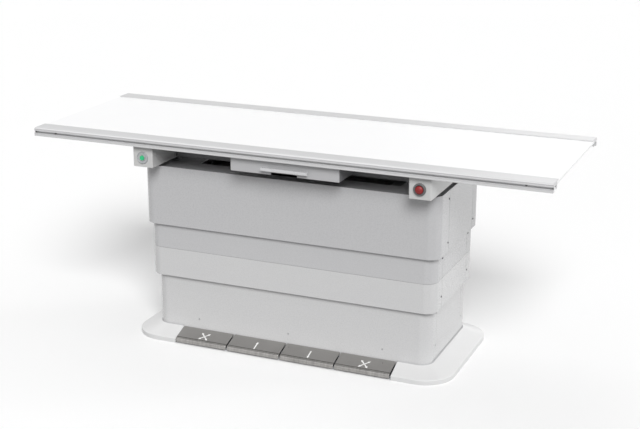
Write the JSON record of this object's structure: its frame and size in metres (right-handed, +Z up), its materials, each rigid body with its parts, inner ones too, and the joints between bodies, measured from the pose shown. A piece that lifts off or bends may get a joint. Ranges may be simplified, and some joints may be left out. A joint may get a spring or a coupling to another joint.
{
  "type": "radiography table",
  "caption": "Height-adjustable radiography table with a four-way floating top, telescopic lift cover, cassette tray under the top and floor pedals.",
  "frame": {"origin": "middle of the base on the floor", "axes": "+X along the table, +Y across it and away from the user, +Z up"},
  "size_m": [2.2, 0.77, 0.894],
  "materials": {
    "white_paint": "smooth semi-gloss white powder paint",
    "cover_paint": "glossy light grey enamel on sheet steel",
    "band_paint": "glossy grey enamel on sheet steel, a shade darker",
    "base_paint": "smooth white paint on the base cover",
    "dark_paint": "dark grey textured powder paint",
    "laminate": "white laminate tabletop",
    "rail_alu": "silver anodised extrusion",
    "bar_alu": "satin anodised bar",
    "steel": "zinc plated steel",
    "tube_steel": "ground and hard chromed tube",
    "pedal_steel": "brushed stainless sheet",
    "black_plastic": "black moulded nylon",
    "gasket": "light grey soft seal",
    "screw_steel": "dark oxide screws",
    "collar_plastic": "grey moulded collar",
    "bezel_plastic": "light grey moulded bezel",
    "red_plastic": "red moulded stop button",
    "green_lens": "green lit lens",
    "tray_paint": "light grey paint on the tray's front",
    "tray_alu": "natural aluminium sheet"
  },
  "bodies": {
    "base": {"base_plate": "steel", "cover_frame": "steel", "base_cover": "base_paint", "foot_gasket": "gasket", "lower_front_cover": "cover_paint", "lower_rear_cover": "cover_paint", "lower_end_covers": "cover_paint", "lower_screws": "screw_steel", "column_outer_tubes": "dark_paint", "control_box": "dark_paint", "mains_gland": "black_plastic", "pedal_brackets": "steel", "pedal_pins": "steel", "pedal_switches": "black_plastic"},
    "lift_middle": {"middle_frame": "steel", "column_middle_tubes": "tube_steel", "upper_band_front": "band_paint", "upper_band_rear": "band_paint", "lower_band_front": "cover_paint", "lower_band_rear": "cover_paint", "middle_end_covers": "cover_paint", "middle_screws": "screw_steel"},
    "lift_head": {"head_frame": "dark_paint", "top_deck": "dark_paint", "column_inner_tubes": "tube_steel", "cross_rails": "tube_steel", "upper_front_cover": "cover_paint", "upper_rear_cover": "cover_paint", "upper_end_covers": "cover_paint", "upper_screws": "screw_steel"},
    "carriage": {"left_arm": "white_paint", "right_arm": "white_paint", "bearing_blocks": "steel", "roller_axles": "steel", "brake_magnets": "dark_paint", "bucky_rails": "dark_paint", "stop_collar": "collar_plastic", "power_bezel": "bezel_plastic"},
    "tabletop": {"table_panel": "laminate", "front_rail": "rail_alu", "rear_rail": "rail_alu", "rail_end_caps": "rail_alu", "rail_screws": "screw_steel"},
    "cassette_unit": {"bucky_housing": "dark_paint", "bucky_grid": "tray_alu"},
    "tray": {"tray_front": "tray_paint", "tray_plate": "tray_alu", "tray_handle": "bar_alu"},
    "roller_front_left": {"roller_front_left": "tube_steel"},
    "roller_front_right": {"roller_front_right": "tube_steel"},
    "roller_rear_left": {"roller_rear_left": "tube_steel"},
    "roller_rear_right": {"roller_rear_right": "tube_steel"},
    "front_jaw": {"front_jaw": "black_plastic"},
    "rear_jaw": {"rear_jaw": "black_plastic"},
    "stop_button": {"stop_button": "red_plastic"},
    "power_button": {"power_button": "green_lens"},
    "pedal_1": {"pedal_1": "pedal_steel"},
    "pedal_2": {"pedal_2": "pedal_steel"},
    "pedal_3": {"pedal_3": "pedal_steel"},
    "pedal_4": {"pedal_4": "pedal_steel"}
  },
  "joints": [
    {"name": "lift", "type": "slide", "parent": "base", "child": "lift_head", "axis": [0, 0, 1], "range_m": [-0.34, 0]},
    {"name": "lift_middle_stage", "type": "slide", "parent": "base", "child": "lift_middle", "axis": [0, 0, 1], "range_m": [-0.17, 0]},
    {"name": "cross_float", "type": "slide", "parent": "lift_head", "child": "carriage", "axis": [0, 1, 0], "range_m": [-0.12, 0.12]},
    {"name": "long_float", "type": "slide", "parent": "carriage", "child": "tabletop", "axis": [1, 0, 0], "range_m": [-0.4, 0.4]},
    {"name": "cassette_unit_slide", "type": "slide", "parent": "carriage", "child": "cassette_unit", "axis": [1, 0, 0], "range_m": [-0.34, 0.26]},
    {"name": "tray_slide", "type": "slide", "parent": "cassette_unit", "child": "tray", "axis": [0, -1, 0], "range_m": [0, 0.4]},
    {"name": "front_jaw_slide", "type": "slide", "parent": "tray", "child": "front_jaw", "axis": [0, 1, 0], "range_m": [0, 0.11]},
    {"name": "rear_jaw_slide", "type": "slide", "parent": "tray", "child": "rear_jaw", "axis": [0, -1, 0], "range_m": [0, 0.11]},
    {"name": "stop_press", "type": "slide", "parent": "carriage", "child": "stop_button", "axis": [0, 1, 0], "range_m": [0, 0.004], "stiffness_N_per_m": 2500},
    {"name": "power_press", "type": "slide", "parent": "carriage", "child": "power_button", "axis": [0, 1, 0], "range_m": [0, 0.002], "stiffness_N_per_m": 1500},
    {"name": "roller_front_left_turn", "type": "hinge", "parent": "carriage", "child": "roller_front_left", "pos_m": [-0.5945, -0.354, 0.8747], "axis": [0, 1, 0], "range_deg": [-2085.5, 2085.5]},
    {"name": "roller_front_right_turn", "type": "hinge", "parent": "carriage", "child": "roller_front_right", "pos_m": [0.5945, -0.354, 0.8747], "axis": [0, 1, 0], "range_deg": [-2085.5, 2085.5]},
    {"name": "roller_rear_left_turn", "type": "hinge", "parent": "carriage", "child": "roller_rear_left", "pos_m": [-0.5945, 0.354, 0.8747], "axis": [0, 1, 0], "range_deg": [-2085.5, 2085.5]},
    {"name": "roller_rear_right_turn", "type": "hinge", "parent": "carriage", "child": "roller_rear_right", "pos_m": [0.5945, 0.354, 0.8747], "axis": [0, 1, 0], "range_deg": [-2085.5, 2085.5]},
    {"name": "pedal_1_press", "type": "hinge", "parent": "base", "child": "pedal_1", "pos_m": [-0.36888, -0.2607, 0.031], "axis": [1, 0, 0], "range_deg": [0, 3], "stiffness_Nm_per_rad": 60, "springref_deg": -2.86},
    {"name": "pedal_2_press", "type": "hinge", "parent": "base", "child": "pedal_2", "pos_m": [-0.12663, -0.2607, 0.031], "axis": [1, 0, 0], "range_deg": [0, 3], "stiffness_Nm_per_rad": 60, "springref_deg": -2.86},
    {"name": "pedal_3_press", "type": "hinge", "parent": "base", "child": "pedal_3", "pos_m": [0.11562, -0.2607, 0.031], "axis": [1, 0, 0], "range_deg": [0, 3], "stiffness_Nm_per_rad": 60, "springref_deg": -2.86},
    {"name": "pedal_4_press", "type": "hinge", "parent": "base", "child": "pedal_4", "pos_m": [0.35787, -0.2607, 0.031], "axis": [1, 0, 0], "range_deg": [0, 3], "stiffness_Nm_per_rad": 60, "springref_deg": -2.86}
  ],
  "couplings": [
    {"joint": "lift_middle_stage", "follows": "lift", "ratio": 0.5},
    {"joint": "rear_jaw_slide", "follows": "front_jaw_slide", "ratio": 1},
    {"joint": "roller_front_left_turn", "follows": "long_float", "rad_per_m": 90.909},
    {"joint": "roller_front_right_turn", "follows": "long_float", "rad_per_m": 90.909},
    {"joint": "roller_rear_left_turn", "follows": "long_float", "rad_per_m": 90.909},
    {"joint": "roller_rear_right_turn", "follows": "long_float", "rad_per_m": 90.909}
  ]
}
